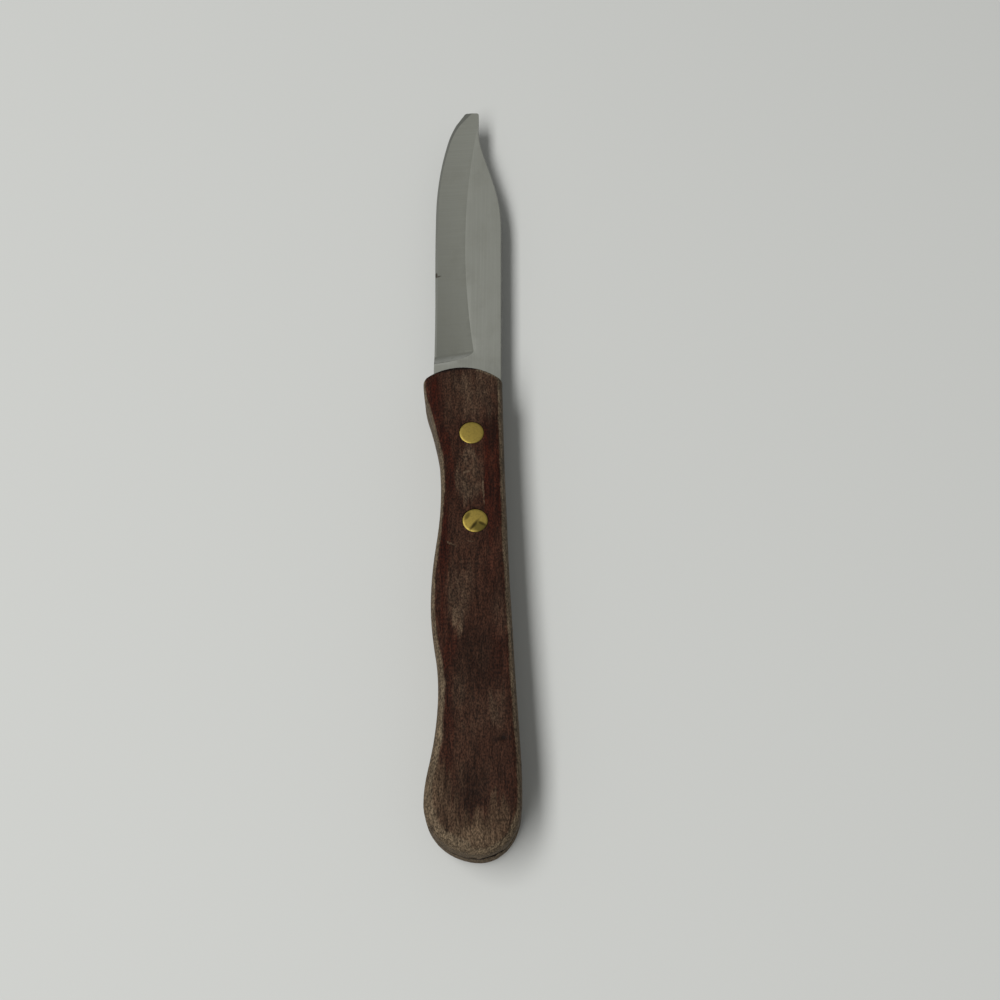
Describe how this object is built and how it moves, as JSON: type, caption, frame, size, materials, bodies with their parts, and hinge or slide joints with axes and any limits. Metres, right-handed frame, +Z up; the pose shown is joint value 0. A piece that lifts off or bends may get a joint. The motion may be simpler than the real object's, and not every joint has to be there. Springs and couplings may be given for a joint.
{
  "type": "paring knife",
  "caption": "Paring knife with a hollow-ground clipped blade, a half tang and a grooved wooden handle held by flush brass rivets.",
  "frame": {"origin": "on the surface that the knife lies on, under the middle of its length and width", "axes": "+Y from the butt of the handle to the point of the blade, +X from the cutting edge to the back, +Z up out of the upper scale"},
  "size_m": [0.0211, 0.1835, 0.0125],
  "materials": {
    "blade_steel": "satin carbon steel, fine grinding lines along the blade, light grey patina and scratches",
    "handle_wood": "dark stained hardwood, worn dry and grey-brown at the butt and edges",
    "rivet_brass": "dull brass, worn flush with the wood"
  },
  "bodies": {
    "root": {"blade": "blade_steel", "upper_scale": "handle_wood", "lower_scale": "handle_wood", "front_rivet_post": "rivet_brass", "front_rivet_tube": "rivet_brass", "rear_rivet_post": "rivet_brass", "rear_rivet_tube": "rivet_brass"}
  },
  "joints": []
}
